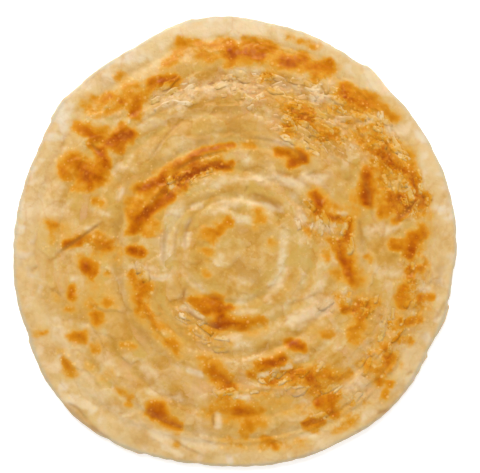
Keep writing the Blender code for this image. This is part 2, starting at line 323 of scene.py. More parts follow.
)  # fmt: skip

# Wider places that toasted golden, with how deeply.
GOLDEN_MARKS = (
    (-24, 80, 14, 80, 8, 0.48), (12, 78, 38, 73, 9, 0.5), (22, 58, 34, 49, 10, 0.42), (46, 62, 66, 50, 8, 0.56),
    (50, 52, 60, 42, 10, 0.42), (58, 44, 70, 24, 13, 0.46), (72, 40, 76, 18, 6, 0.46), (60, 20, 76, 14, 10, 0.48),
    (34, 16, 50, 6, 8, 0.42), (46, -2, 52, -16, 8, 0.5), (76, 2, 78, -14, 8, 0.42), (72, -18, 80, -28, 8, 0.4),
    (54, -26, 52, -40, 10, 0.38), (66, -34, 62, -56, 10, 0.42), (20, -54, 40, -60, 12, 0.46),
    (36, -66, 46, -76, 10, 0.38), (-10, -52, 0, -66, 10, 0.44), (-6, -72, 10, -76, 11, 0.46),
    (-4, -85, 28, -85, 7, 0.36), (10, -66, 28, -72, 9, 0.36), (-26, -38, -4, -42, 8, 0.34), (-34, -71, -28, -76, 8, 0.44), (-32, -34, -24, -46, 7, 0.36),
    (-41, -16, -38, -32, 7, 0.42), (-38, 20, -30, 24, 9, 0.62), (-43, 14, -36, 6, 9, 0.6), (-30, 28, -10, 36, 7, 0.5),
    (-69, 33, -58, 28, 11, 0.6), (-62, 47, -48, 43, 8, 0.56), (-62, 58, -40, 60, 9, 0.5), (-76, 6, -54, 0, 8, 0.3), (-30, 22, -20, 28, 7, 0.5), (40, 16, 50, 12, 7, 0.45),
    (-64, -10, -54, -28, 10, 0.34), (-58, -4, -50, -6, 8, 0.34), (-12, 4, -4, 8, 7, 0.36), (-14, -28, 8, -35, 8, 0.42), (24, -20, 34, -40, 6, 0.2),
    (6, 44, 30, 40, 6, 0.25), (34, 20, 36, 12, 8, 0.44),
)  # fmt: skip

# Dry, floury places that stayed pale, and painted highlights where the oily face shines, with how pale each is.
PALE_AND_SHINE_MARKS = (
    (-28, 89, 8, 91, 6, 0.8), (8, 91, 20, 88, 4, 0.4), (2, 90, 10, 89.5, 4, 1.0), (56, 71, 63, 65, 7, 0.85),
    (65, 48, 73, 47, 4.5, 1.0), (17, 27, 28, 24, 3.4, 1.0), (26, 10.5, 29, 9.5, 4, 1.0),
    (30, 27.5, 37, 25.5, 6, 0.8), (24, -33, 40, -27, 6, 1.0), (25, 1.5, 27, 2, 3, 0.6),
    (-20, 3, -20.8, -1, 1.4, 0.9), (-8.5, 12.7, -4, 13.5, 2, 0.7), (-18, 14, -15, 15, 2, 0.7),
    (10, 16.2, 19, 13.6, 2.6, 0.7), (-2, 15.5, 8, 16, 2.4, 0.4), (-27, 3, -27, -2, 5, 0.45),
    (-33, 3, -31, -6, 4, 0.5), (-21, -28, -14, -32.5, 1.4, 1.0), (-2, -29.8, 8, -29.6, 1.4, 0.7),
    (-44.5, -10, -34, -12, 0.9, 0.75), (-37, -15, -28.5, -14.6, 0.9, 0.75), (-47, 22, -48.5, 18, 1.8, 0.6),
    (-74, -7, -66, -4, 3, 0.45), (-70, -8, -67, -11, 3, 0.35), (-88, 15, -87, 12, 4, 0.8), (-87, -20, -87, -25, 4.5, 0.5),
    (-77, -53.5, -76, -53.5, 4, 1.0), (-83.5, -45, -82.5, -46, 3, 0.8), (-73, -65.5, -62, -69.5, 4, 0.8),
    (-62, -70, -52, -76, 6, 0.45), (-34, -81, -30, -83, 4, 1.0), (-30, -87, -23, -90, 1.6, 1.0),
    (-37, -64.5, -32.5, -64.2, 2, 0.7), (-17, -84, -16, -88, 3.5, 0.6), (-7.5, -73.5, -7.2, -78, 2.2, 0.9),
    (10.5, -56.3, 15.5, -55.5, 2, 1.0), (20, -53, 24, -52.4, 1.3, 1.0), (26, -49.3, 30, -48.8, 1.3, 0.8),
    (-19, -54.5, -14.5, -56, 1.8, 0.9), (-21, -46, -16, -47, 6, 0.3), (-4, -41, 2, -40.5, 1.3, 0.8),
    (1, -66, 5.5, -66, 2, 1.0), (24, -75, 28, -74.7, 1.6, 0.6), (28, -82.6, 33, -82.2, 1.4, 0.8),
    (36, -85.5, 40, -86, 4, 0.7), (54, -75.5, 58, -73, 3.4, 0.7), (70, -52, 78, -48, 6, 0.4),
    (-1, 71.2, 4, 71.4, 2, 1.0), (5, 71.8, 10, 71.4, 2.6, 0.6), (-21, 77.5, -19, 77.8, 2.4, 0.8),
    (-13, 63.5, -9, 63.2, 2, 0.8), (-19, 65, -14.5, 65.3, 1.6, 0.6), (3, 64, 6, 63.8, 1.6, 0.7),
    (-24, 56.3, -21.5, 57, 1.6, 0.9), (32.5, 61.5, 36, 61, 3, 1.0), (17, 42, 22.5, 41.4, 1.1, 0.8),
    (38, 67, 41, 66.5, 3, 0.5), (41, 60, 43, 58, 1.5, 0.6), (43, 52, 45.5, 51.5, 1.4, 0.7),
    (52, 50.2, 60, 51, 1.4, 0.7), (56, 44.5, 57.5, 44, 2, 0.6), (66.5, 5, 70, 8, 1.0, 0.6),
    (82, 14.5, 85, 14, 2.4, 0.5), (42, -8, 43, -9, 2.6, 0.6),
    (52, -8.5, 54, -9.5, 2, 0.5), (78.5, -20.3, 82, -20.8, 2, 0.9), (33, 6.8, 41, 6, 1.2, 0.8),
    (44, 11.3, 47, 10.8, 1.2, 0.8), (48, -61.3, 54, -61, 2.6, 0.5), (85.7, -29, 84.6, -33, 1.4, 0.6),
    (64.5, -38.5, 67, -39, 1.8, 0.7), (-62.8, 5.4, -61.6, 5.2, 1.6, 0.8), (-57, 11.8, -54.5, 11.6, 1.2, 0.6),
    (-68.5, -16.2, -66.5, -16.5, 1.8, 0.7), (-26.5, 22.8, -25.5, 22.5, 1.4, 0.7), (11, 27.5, 14, 27.5, 1.6, 0.5),
    (1, -25.8, 4, -25.9, 1.2, 0.6), (-50, 77, -38, 82, 3, 0.35), (-48, 32.5, -46.5, 31.5, 2, 0.6),
    # wide, faint ones
    (-76, -34, -60, -64, 16, 0.6), (-60, -66, -42, -78, 10, 0.5), (-38, -64, -22, -66, 8, 0.5),
    (-34, -82, -10, -86, 8, 0.75), (-28, 60, -4, 68, 12, 0.5), (-86, 14, -72, 14, 12, 0.65), (-86, 27, -76, 22, 8, 0.5), (-74, 40, -66, 52, 8, 0.3),
    (-70, 62, -60, 68, 8, 0.5), (-44, 76, -34, 84, 6, 0.45), (-32, 84, -24, 88, 6, 0.6), (0, 88, 26, 86, 6, 0.5),
    (26, 88, 40, 84, 4, 0.4), (-30, 57, -12, 64, 6, 0.5), (-20, 64, 34, 66, 9, 0.45), (33, 65, 40, 62, 6, 0.5),
    (33, 34, 46, 34, 7, 0.4), (62, 54, 76, 42, 8, 0.5), (56, 4, 68, 6, 6, 0.6), (60, -12, 76, -15, 8, 0.55),
    (44, -64, 60, -54, 9, 0.6), (46, -52, 56, -60, 8, 0.35), (62, -48, 72, -42, 8, 0.6), (62, -34, 68, -38, 6, 0.4),
    (-12, 24, 10, 27, 6, 0.5), (10, 27, 30, 24, 7, 0.7), (24, 20, 28, 12, 5, 0.5), (-24, 12, -26, -4, 5, 0.35),
    (-36, 8, -34, 0, 5, 0.5), (-24, -12, -14, -20, 6, 0.45), (-8, -14, 4, -18, 6, 0.35), (14, -24, 22, -12, 5, 0.6),
    (36, -26, 28, -34, 9, 0.6), (-72, -8, -62, -18, 8, 0.3), (-64, -36, -52, -56, 10, 0.55), (-68, -60, -60, -66, 8, 0.5),
    (-38, -52, -32, -58, 7, 0.5), (62, -34, 70, -36, 8, 0.5), (30, -23, 38, -26, 6, 0.4),
    (-16, -72, -14, -86, 7, 0.5), (-66, 64, -56, 66, 7, 0.4), (-68, 6, -62, 4, 6, 0.4), (34, -62, 36, -66, 6, 0.5), (-68, 66, -54, 62, 8, 0.4), (30, -30, 38, -36, 7, 0.4),
)  # fmt: skip

# Places where butter pooled and the dough stayed darker, tan or olive, and places painted tan as shade, such as the
# groove left of the eye.
BUTTER_AND_SHADE_MARKS = (
    (-46, 16, -49, 7, 3.2, 0.8), (-49, 7, -49.3, -9, 3.4, 0.8), (-49.3, -9, -48.5, -20, 3.2, 0.7),
    (-48.5, -20, -45, -30, 3.4, 0.6), (-45, -33, -36, -45, 7, 0.6), (-34, -50, -27, -57, 8, 0.5),
    (-26, -59, -14, -57.5, 5, 0.5), (2, -10, 8, -14, 10, 0.9), (-12, 10, 14, 4, 12, 0.4),
    (10, 18.6, 18, 15.6, 1.8, 0.9), (-21, 5, -17, 10, 1.4, 0.6), (-29.6, 6, -30.2, -9, 1.6, 0.6),
    (-21, -19.5, -21.6, -25, 1.8, 0.6), (5, 51, 14, 46, 6, 0.6), (-2, 52, 3, 46, 8, 0.7),
    (-9, 49, 5, 46, 7, 0.6), (0, 57, 2, 57, 3, 0.5), (-15, 43, -12, 43, 4, 0.8), (12, 33.5, 14, 33, 3, 0.7),
    (-35, 50, -34, 40, 7, 0.4), (-22, 44, -14, 41, 6, 0.3), (52.5, 10, 54, -2, 1.8, 0.7),
    (54, -8, 54, -22, 5, 0.5), (40, 30, 48, 26, 3, 0.4), (-70, 14, -62, 10, 8, 0.35),
    (-84, -12, -92, -8, 6, 0.4), (-66, -18, -62, -20, 6, 0.3), (24, 20, 27, 14, 6, 0.4),
    (-6, -80, 6, -90, 6, 0.3), (-50, -78, -40, -84, 8, 0.4), (14, -66, 26, -66, 5, 0.4), (-11, -71.8, -14, -71.8, 4, 0.6),
    (24, -14, 30, -22, 8, 0.35), (8, 24, 20, 21, 4, 0.4), (64, -68, 70, -62, 5, 0.6), (58, -74, 64, -71, 3, 0.6),
    (-58, 68, -54, 66, 5, 0.5), (-72, -70, -60, -80, 2.4, 0.6), (-12, -91, -1, -88, 3, 0.4), (-10, 19, 0, 20, 5, 0.4), (-38, 38, -30, 34, 6, 0.5),
    (88, -8, 86, -20, 5, 0.5), (-8, 17, 2, 14.5, 5, 0.6), (10, 47, 20, 44, 6, 0.5),
    (44, 18, 50, 12, 8, 0.6), (-48, 28, -42, 22, 8, 0.7), (22, 47, 28, 43, 6, 0.4), (52, -2, 58, -8, 6, 0.4), (-84, 0, -86, -10, 5, 0.4),
    (80, -40, 74, -50, 6, 0.4), (-87, -32, -84, -42, 5, 0.4),
)  # fmt: skip

# Torn, flaky stretches, where the dough's leaves stand apart.
FLAKY_MARKS = (
    (-30, 62, 0, 66, 14, 0.8), (0, 66, 34, 60, 16, 1.0), (34, 60, 62, 42, 20, 1.0), (60, 42, 74, 18, 18, 1.0),
    (22, 50, 40, 42, 14, 1.0), (30, 12, 44, 2, 12, 0.9), (76, -10, 76, -34, 14, 0.6), (66, -36, 56, -60, 18, 0.6),
    (40, -60, 20, -58, 18, 0.7), (20, -58, -6, -62, 16, 0.55), (36, -76, 50, -70, 10, 0.45), (-22, -30, -8, -44, 8, 0.7),
    (-26, 24, -10, 32, 6, 1.0), (-42, 56, -60, 56, 10, 0.35), (-66, 30, -58, 40, 12, 0.2), (-40, -12, -34, -30, 8, 0.6),
    (42, -26, 58, -28, 10, 0.7), (-60, 0, -50, -2, 6, 0.5), (4, 82, -16, 80, 8, 0.4),
)  # fmt: skip

# Creases and the free edges of layers: start, a point that the curve bends towards, end, then
# width, depth, and how far the side to the left of that run stands above the other.
CREASES = (
    (-77, -6.5, -67, 0.5, -53.5, 10, 0.8, 0.45, 0.35), (67.5, 8.5, 74, 14, 81, 19, 0.9, 0.5, -0.4),
    (-20, 53, -30, 46, -36, 34, 0.6, 0.3, 0.2), (-43, 9, -34, 20, -25, 28, 0.7, -0.4, 0.0),
    (-1.5, 38.6, -16, 37, -28, 28, 0.7, 0.35, -0.25), (5, 20, 13, 20, 21, 11, 0.9, 0.32, -0.32),
    (-17, 11, -23, 4, -20.5, -6, 0.9, 0.26, -0.25), (-22, 10, -27, 2, -25, -8, 0.9, 0.2, -0.2),
    (-29, 8, -31.5, -2, -30, -10, 1.0, 0.18, 0.2), (-21.5, -28, -16, -34, -5, -37.5, 0.8, 0.3, 0.3),
    (-20.5, -19, -22.5, -23, -21.5, -26, 0.8, 0.35, 0.2), (-9, -72.5, -9.8, -75.5, -8.6, -78.5, 0.6, 0.6, 0.2),
    (-72.5, -68.5, -66, -69, -62, -77, 0.7, 0.3, 0.25), (-62, -77, -58, -81, -52, -84, 0.7, 0.25, 0.2),
    (-18, -36, -15, -40, -12, -42, 0.5, 0.25, 0.1), (-16, -35, -13, -38.5, -10, -40, 0.5, 0.25, 0.1),
    (-79, -20.5, -75, -20, -73, -24.5, 0.5, 0.25, 0.1), (-86.5, -13.5, -85, -11, -83, -10.5, 0.6, 0.25, 0.0),
    (64.5, 41, 63.5, 38, 66.5, 36.5, 0.6, 0.4, 0.2), (52, 11, 53.5, 4, 54, -2, 0.9, 0.25, 0.15),
    (-61, 41.5, -59, 39, -56.5, 37.5, 0.6, 0.35, 0.1), (4, 20.5, 4.4, 22, 5.6, 24, 0.5, 0.3, 0.0),
    (84, -34, 87, -30, 89.5, -24, 0.7, 0.25, 0.15), (60, -73.5, 62, -72, 65, -71.5, 0.6, 0.3, 0.1),
    (72.5, -57, 74, -55, 75.5, -55.5, 0.6, 0.3, 0.1), (-45, -9.5, -40, -11.8, -34, -11.5, 0.6, -0.18, 0.0),
    (-37, -14.5, -33, -15.2, -28, -14.4, 0.6, -0.18, 0.0), (-48, 34, -52, 12, -48, -12, 3.2, 0.22, 0.0),
    (-48, -12, -48, -34, -38, -48, 3.2, 0.2, 0.0), (-38, -48, -26, -60, -10, -59, 2.6, 0.16, 0.0),
    (14, 30, 28, 28, 34, 20, 0.9, 0.25, -0.2), (-46, 46, -34, 56, -18, 60, 0.8, 0.2, 0.15),
    (0, 43.5, 22, 46, 34, 30, 0.9, 0.25, 0.2), (50, 34, 58, 22, 58, 8, 0.8, 0.2, 0.15),
    (24, -37, 36, -32, 44, -26, 1.0, 0.2, -0.2), (20, -27, 30, -25, 38, -20, 1.0, 0.18, 0.2),
    (8, -63.5, 14, -62, 24, -63.5, 0.6, 0.25, 0.15), (-28, -82, -22, -88, -12, -91, 0.7, 0.25, 0.15),
)  # fmt: skip


def edge_distance(x, y):
    """How far in from the bread's rim each place lies."""
    angle = np.arctan2(y, x)
    slot = np.round((angle + math.pi) / (2 * math.pi) * len(rim_reach)).astype(int)
    return rim_reach[slot % len(rim_reach)] - np.hypot(x, y)


# The rim's reach from the middle, for each of 360 directions.
points = points_of(bread)
spans = np.hypot(points[:, 0], points[:, 1])
slots = np.round((np.arctan2(points[:, 1], points[:, 0]) + math.pi) / (2 * math.pi) * 360)
rim_reach = np.array([spans[slots.astype(int) % 360 == i].max() for i in range(360)])


def crease(x, y, line):
    """How deep each place lies in the crease, how far to its left, and how near its middle."""
    x1, y1, bend_x, bend_y, x2, y2, across = line[:7]
    nearest = np.full(len(x), 1e9)
    side = np.zeros(len(x))
    taper = np.zeros(len(x))
    shares = np.linspace(0.0, 1.0, 13)
    curve_x = (1 - shares) ** 2 * x1 + 2 * shares * (1 - shares) * bend_x + shares**2 * x2
    curve_y = (1 - shares) ** 2 * y1 + 2 * shares * (1 - shares) * bend_y + shares**2 * y2
    for i in range(12):
        run_x, run_y = curve_x[i + 1] - curve_x[i], curve_y[i + 1] - curve_y[i]
        run = math.hypot(run_x, run_y)
        share = np.clip(((x - curve_x[i]) * run_x + (y - curve_y[i]) * run_y) / run**2, 0, 1)
        off_x, off_y = x - curve_x[i] - share * run_x, y - curve_y[i] - share * run_y
        gap = np.hypot(off_x, off_y)
        closer = gap < nearest
        nearest = np.where(closer, gap, nearest)
        side = np.where(closer, (run_x * off_y - run_y * off_x) / run, side)
        taper = np.where(closer, (i + share) / 12, taper)
    ends = step(taper * 4) * step((1 - taper) * 4)
    return np.exp(-((nearest / across) ** 2)) * ends, np.sign(side) * nearest, ends


def torn_sheets(x, y, count, long, wide, seed):
    """Overlapping sheets of dough, longer along the coil than across it.

    Returns each place's sheet number, how far it lies from that sheet's middle, along the coil
    and across it, and how near it is to the sheet's edge, from 0 to 1 on the edge itself.
    """
    draw = np.random.RandomState(seed)
    reach, angle = np.sqrt(draw.uniform(0, 95**2, count)), draw.uniform(0, 2 * math.pi, count)
    seed_x, seed_y = COIL_CENTRE[0] + reach * np.cos(angle), COIL_CENTRE[1] + reach * np.sin(angle)
    turn = angle + draw.uniform(-0.35, 0.35, count)
    # Only the places within 12 mm to the left and right of a sheet's middle can lie on it.
    order = np.argsort(x)
    x, y = x[order], y[order]
    first, last = np.searchsorted(x, seed_x - 12), np.searchsorted(x, seed_x + 12)
    best, second = np.full(len(x), 1e9), np.full(len(x), 1e9)
    sheet = np.zeros(len(x), int)
    along, across = np.zeros(len(x)), np.zeros(len(x))
    for i in range(count):
        near = slice(first[i], last[i])
        off_x, off_y = x[near] - seed_x[i], y[near] - seed_y[i]
        out = off_x * math.cos(turn[i]) + off_y * math.sin(turn[i])
        side = off_y * math.cos(turn[i]) - off_x * math.sin(turn[i])
        gap = np.hypot(out / wide, side / long)
        closer = gap < best[near]
        second[near] = np.where(closer, best[near], np.minimum(second[near], gap))
        best[near] = np.where(closer, gap, best[near])
        sheet[near][closer] = i
        along[near][closer], across[near][closer] = side[closer], out[closer]
    edge = np.exp(-(((second - best) * wide / 0.55) ** 2))
    back = np.argsort(order)
    return sheet[back], along[back], across[back], edge[back]


def griddled(x, y):
    """Everything that the dough's surface does at those places: its rise, and how it is coloured."""
    zero = 0 * x
    centre_x, centre_y = x - COIL_CENTRE[0], y - COIL_CENTRE[1]
    reach = np.hypot(centre_x, centre_y)
    in_from_rim = edge_distance(x, y)
    inner = step(in_from_rim / 12)
    wander_x = x + 1.3 * ripple(x / 7, y / 7, zero + 3) + 0.6 * ripple(x / 2.6, y / 2.6, zero + 9)
    wander_y = y + 1.3 * ripple(x / 7, y / 7, zero + 30) + 0.6 * ripple(x / 2.6, y / 2.6, zero + 90)
    browned = painted(wander_x, wander_y, GRIDDLE_MARKS, 0.0, 2.8)
    halo = painted(wander_x, wander_y, GRIDDLE_MARKS, 0.6, 5.0)
    golden = painted(wander_x, wander_y, GOLDEN_MARKS, 0.4, 4.0)
    browned, halo = np.maximum(browned, 0.9 * golden), np.maximum(halo, golden)
    browned *= 0.88 + 0.12 * step((in_from_rim - 8) / 30)
    pale = painted(wander_x, wander_y, PALE_AND_SHINE_MARKS, 0.0, 2.2)
    browned, halo = browned * (1 - 0.8 * pale**2), halo * (1 - 0.7 * pale**2)
    butter_and_shade = painted(wander_x, wander_y, BUTTER_AND_SHADE_MARKS, 0.0, 3.0)
    flaky = painted(wander_x, wander_y, FLAKY_MARKS, 0.4, 4.0)
    flaky = np.clip(flaky + 0.3 * ripple(x / 9, y / 9, zero + 50), 0, 1) * inner

    # Sheets of dough lie over each other, each a little tilted, with a free edge.
    draw = np.random.RandomState(5)
    rise, tint, hue = np.zeros(len(x)), np.zeros(len(x)), np.zeros(len(x))
    lift = np.zeros(len(x))
    edges = np.zeros(len(x))
    for count, long, wide, seed, tilt, share in (
        (420, 1.9, 1.0, 11, 0.07, 0.6 + 0.4 * flaky),
        (2400, 1.6, 1.0, 23, 0.11, 0.15 + 0.85 * flaky),
        (5200, 1.4, 1.0, 37, 0.12, 0.05 + 0.8 * flaky),
    ):
        sheet, along, across, edge = torn_sheets(
            x + 0.9 * ripple(x / 3, y / 3, zero + seed), y + 0.9 * ripple(x / 3, y / 3, zero - seed),
            count, long, wide, seed,
        )
        lean_along, lean_across = draw.normal(0, tilt * 0.5, count), draw.normal(0.3 * tilt, tilt, count)
        lean = lean_along[sheet] * along + lean_across[sheet] * across
        lift += np.clip(lean, -0.4, 0.4) * share * inner
        tint += draw.normal(0, 0.5, count)[sheet] * share
        hue += draw.normal(0, 0.5, count)[sheet] * share
        # The sheets' edges are kept for a painted warm shade along them.
        edges = np.maximum(edges, edge * share * draw.uniform(0, 1, count)[sheet])
    rise += lift
    # Where a tilted sheet lifts it is painted paler, and where it sinks darker, as painted light and shade.
    tint += 1.6 * lift
    # Dough round the eye stayed yellower; where leaves stand apart it went pinker.
    hue += 0.45 * flaky * step((reach - 30) / 20) - 0.4 * np.exp(-(((reach - 25) / 10) ** 2))
    # The coil's rounds show round the eye as painted paler and darker rings: painted light and shade of their ridges
    # and grooves.
    coil_ring_shading = np.cos(2 * math.pi * (reach - 21) / 9 + 0.9 * ripple(x / 16, y / 16, zero + 70))
    tint += 0.5 * coil_ring_shading * step((reach - 10) / 8) * (1 - step((reach - 34) / 20))
    # The whole face is a little uneven, most of all where it flakes.
    rise += 0.16 * ripple(x / 11, y / 11, zero + 11) * inner + 0.09 * ripple(x / 4, y / 4, zero + 12)
    rise += (0.04 + 0.08 * flaky) * ripple(x / 1.9, y / 1.9, zero + 41)
    # Blisters stand up and brown first.
    rise += 0.2 * halo * inner + 0.14 * browned * ripple(x / 1.6, y / 1.6, zero + 40)
    crease_shade, lip_highlight = np.zeros(len(x)), np.zeros(len(x))
    for line in CREASES:
        cut, side, ends = crease(x, y, line)
        rise -= line[7] * cut
        raised = side * np.sign(line[8]) if line[8] else np.abs(side)
        lip = step(raised / 0.8 + 0.5) * np.exp(-np.abs(side) / 2.8) * ends
        rise += abs(line[8]) * lip
        lip_highlight = np.maximum(lip_highlight, lip * min(1.0, abs(line[8]) / 0.35))
        # The deeper creases are also painted darker, as painted shade in them.
        if line[7] > 0 and line[6] < 2:
            crease_shade = np.maximum(crease_shade, cut * min(1.0, line[7] / 0.45))
    looks = {
        "browned": browned, "halo": halo, "pale": pale, "butter_and_shade": butter_and_shade, "flaky": flaky,
        "crease_shade": crease_shade, "lip_highlight": lip_highlight, "tint": tint, "hue": hue, "sheet_edge_shade": edges,
        # The rim is paler, and painted paler still towards the far side, as painted light from the window; its outer
        # millimetre is painted greyer, as painted shade on its edge.
        "rim": (1 - step(in_from_rim / 22)) * (0.95 + 0.18 * y / 92), "rim_edge_shade": np.exp(-((in_from_rim / 1.0) ** 2)),
    }
    return rise, looks


def colour_with(piece, looks):
    """Gives the piece's points those values, for its material to read."""
    for name, values in looks.items():
        layer = piece.data.attributes.new(name, "FLOAT", "POINT")
        layer.data.foreach_set("value", values.astype(np.float32))


def under_roof(heights):
    """Heights kept below the bread's greatest thickness, easing off over the last half millimetre."""
    roof = height / MM
    return np.where(heights > roof - 0.5, roof - 0.5 * np.exp(-(heights - roof + 0.5) / 0.5), heights)


# Where a layer ends at the rim, the outline steps: the direction in degrees, over how many degrees
# the step eases off and to which side, and its height.
RIM_STEPS = (
    (146, -8, 0.9), (53, -8, 0.7), (206, 6, 0.6), (329, -8, 1.1), (343, -7, 0.9), (101, 5, 0.4), (246, -10, 0.6),
)  # fmt: skip

points = points_of(bread)
# The rim wavers a little, and the bread is let out again to its full width and depth, which
# the remeshing took in.
angle = np.arctan2(points[:, 1], points[:, 0])
round_rim = 92 * np.cos(angle), 92 * np.sin(angle), 0 * angle
waver = 0.5 * ripple(*(place / 9 for place in round_rim)) + 0.3 * ripple(*(place / 3.4 for place in round_rim))
for at, run, out in RIM_STEPS:
    turn = (np.degrees(angle) - at + 180) % 360 - 180
    turn *= np.sign(run)
    waver += out * np.where(turn > 0, np.exp(-np.maximum(turn, 0) / abs(run)), np.exp(-((turn / 0.6) ** 2)))
outer = 1 - step(edge_distance(points[:, 0], points[:, 1]) / 9)
points[:, :2] *= (1 + waver * outer / 92)[:, None]
points[:, :2] *= np.array((width, depth)) / MM / np.ptp(points[:, :2], axis=0) * 0.9999
points[:, :2] -= (points[:, :2].max(axis=0) + points[:, :2].min(axis=0)) / 2
normals = np.empty(len(bread.data.vertices) * 3, np.float32)
bread.data.vertices.foreach_get("normal", normals)
upward = step((normals.reshape(-1, 3)[:, 2] - 0.1) / 0.5)
# The underside met the iron first and has marks of its own.
below = (upward == 0) & (edge_distance(points[:, 0], points[:, 1]) > 4)
x = np.where(below, 0.94 * points[:, 1], points[:, 0])
y = np.where(below, 0.94 * points[:, 0], points[:, 1])
rise, looks = griddled(x, y)
points[:, 2] = under_roof(points[:, 2] + rise * upward)
put_points(bread, points)
colour_with(bread, looks)
bread.data.shade_smooth()


def srgb(red, green, blue):
    """A colour as painters give it, 0 to 255, turned into the light that it sends back."""
    light = [((c / 255 + 0.055) / 1.055) ** 2.4 if c > 10 else c / 255 / 12.92 for c in (red, green, blue)]
    return (*light, 1.0)


class Recipe:
    """A material's nodes, added one by one and wired as they come."""

    def __init__(self, name):
        self.material = bpy.data.materials.new(name)
        self.material.use_nodes = True
        self.nodes = self.material.node_tree.nodes
        self.links = self.material.node_tree.links
        self.shader = self.nodes["Principled BSDF"]

    def feed(self, socket, value):
        if isinstance(value, bpy.types.NodeSocket):
            self.links.new(value, socket)
        else:
            socket.default_value = value

    def attribute(self, name):
        node = self.nodes.new("ShaderNodeAttribute")
        node.attribute_name = name
        return node.outputs["Fac"]

    def math(self, operation, first, second=0.0, clamp=False):
        node = self.nodes.new("ShaderNodeMath")
        node.operation = operation
        node.use_clamp = clamp
        self.feed(node.inputs[0], first)
        self.feed(node.inputs[1], second)
        return node.outputs[0]

    def between(self, value, start, end):
        """0 where value is under start, 1 over end, smooth in between."""
        node = self.nodes.new("ShaderNodeMapRange")
        node.interpolation_type = "SMOOTHSTEP"
        self.feed(node.inputs["Value"], value)
        node.inputs["From Min"].default_value = start
        node.inputs["From Max"].default_value = end
        return node.outputs[0]

    def noise(self, places, size, detail=2.0, roughness=0.55, stretch=0.0):
        """Noise from 0 to 1 whose grains are about that size, in metres."""
        node = self.nodes.new("ShaderNodeTexNoise")
        self.feed(node.inputs["Vector"], places)
        node.inputs["Scale"].default_value = 1.0 / size
        node.inputs["Detail"].default_value = detail
        node.inputs["Roughness"].default_value = roughness
        node.inputs["Distortion"].default_value = stretch
        return node.outputs["Fac"]

    def mix(self, share, first, second):
        node = self.nodes.new("ShaderNodeMix")
        node.data_type = "RGBA"
        self.feed(node.inputs["Factor"], share)
        self.feed(node.inputs["A"], first)
        self.feed(node.inputs["B"], second)
        return node.outputs["Result"]

    def cells(self, places, size, ragged):
        """Scraps of about that size with ragged edges: a tone and a hue for each, from 0 to 1."""
        shake = self.nodes.new("ShaderNodeTexNoise")
        self.feed(shake.inputs["Vector"], places)
        shake.inputs["Scale"].default_value = 1.0 / size
        shake.inputs["Detail"].default_value = 2.0
        shift = self.nodes.new("ShaderNodeVectorMath")
        shift.operation = "MULTIPLY_ADD"
        self.feed(shift.inputs[0], shake.outputs["Color"])
        shift.inputs[1].default_value = (ragged * 4, ragged * 4, ragged * 4)
        self.feed(shift.inputs[2], places)
        scraps = self.nodes.new("ShaderNodeTexVoronoi")
        self.feed(scraps.inputs["Vector"], shift.outputs[0])
        scraps.inputs["Scale"].default_value = 1.0 / size
        channels = self.nodes.new("ShaderNodeSeparateColor")
        self.feed(channels.inputs[0], scraps.outputs["Color"])
        return channels.outputs[0], channels.outputs[1]

    def dots(self, places, spacing, share):
        """Round dots, about that far apart: 1 in the dots of that share of the places, 0 outside them."""
        glint_dots = self.nodes.new("ShaderNodeTexVoronoi")
        self.feed(glint_dots.inputs["Vector"], places)
        glint_dots.inputs["Scale"].default_value = 1.0 / spacing
        glint_dots.inputs["Randomness"].default_value = 1.0
        lot = self.nodes.new("ShaderNodeSeparateColor")
        self.feed(lot.inputs[0], glint_dots.outputs["Color"])
        round_dots = self.between(glint_dots.outputs["Distance"], 0.36, 0.12)
        return self.math("MULTIPLY", round_dots, self.between(lot.outputs[0], 1.0 - share, 1.0))

    def ramp(self, value, stops):
        node = self.nodes.new("ShaderNodeValToRGB")
        self.feed(node.inputs["Fac"], value)
        for spare in range(len(stops) - 2):
            node.color_ramp.elements.new(0.5)
        for element, (place, colour) in zip(node.color_ramp.elements, stops):
            element.position = place
            element.color = colour
        return node.outputs["Color"]

    def bump(self, heights, distance, strength, before=None):
        node = self.nodes.new("ShaderNodeBump")
        self.feed(node.inputs["Height"], heights)
        node.inputs["Distance"].default_value = distance
        node.inputs["Strength"].default_value = strength
        if before is not None:
            self.feed(node.inputs["Normal"], before)
        return node.outputs["Normal"]


dough = Recipe("toasted_dough_skin")
here = dough.nodes.new("ShaderNodeTexCoord").outputs["Object"]
blotches = dough.noise(here, 0.0042, 1, 0.5)
specks = dough.noise(here, 0.0019, 2, 0.6)
grain = dough.noise(here, 0.0009, 2)
cloud = dough.noise(here, 0.013, 3, 0.6)
patches = dough.noise(here, 0.0085, 2, 0.5)

browned, halo = dough.attribute("browned"), dough.attribute("halo")
pale, butter_and_shade = dough.attribute("pale"), dough.attribute("butter_and_shade")
flaky, crease_shade, rim = dough.attribute("flaky"), dough.attribute("crease_shade"), dough.attribute("rim")
tint, hue, rim_edge_shade = dough.attribute("tint"), dough.attribute("hue"), dough.attribute("rim_edge_shade")
sheet_edge_shade, lip_highlight = dough.attribute("sheet_edge_shade"), dough.attribute("lip_highlight")


def about(*parts):
    """Adds up shares of (value, weight), each counted from its middle, 0.5."""
    total = 0.0
    for value, weight in parts:
        total = dough.math("ADD", total, dough.math("MULTIPLY", dough.math("SUBTRACT", value, 0.5), weight))
    return total


# Raw dough colours: from tan through cream to pale.
scrap_tone, scrap_hue = dough.cells(here, 0.0058, 0.0024)
small_tone, small_hue = dough.cells(here, 0.0021, 0.0012)
tone = dough.math("ADD", about((cloud, 1.4), (blotches, 0.5), (scrap_tone, 0.12), (small_tone, 0.08)), 0.52)
scraps_apart = dough.math("MULTIPLY", about((scrap_tone, 0.3), (small_tone, 0.45)), flaky)
tone = dough.math("ADD", tone, scraps_apart)
tone = dough.math("ADD", tone, dough.math("MULTIPLY", tint, 0.24))
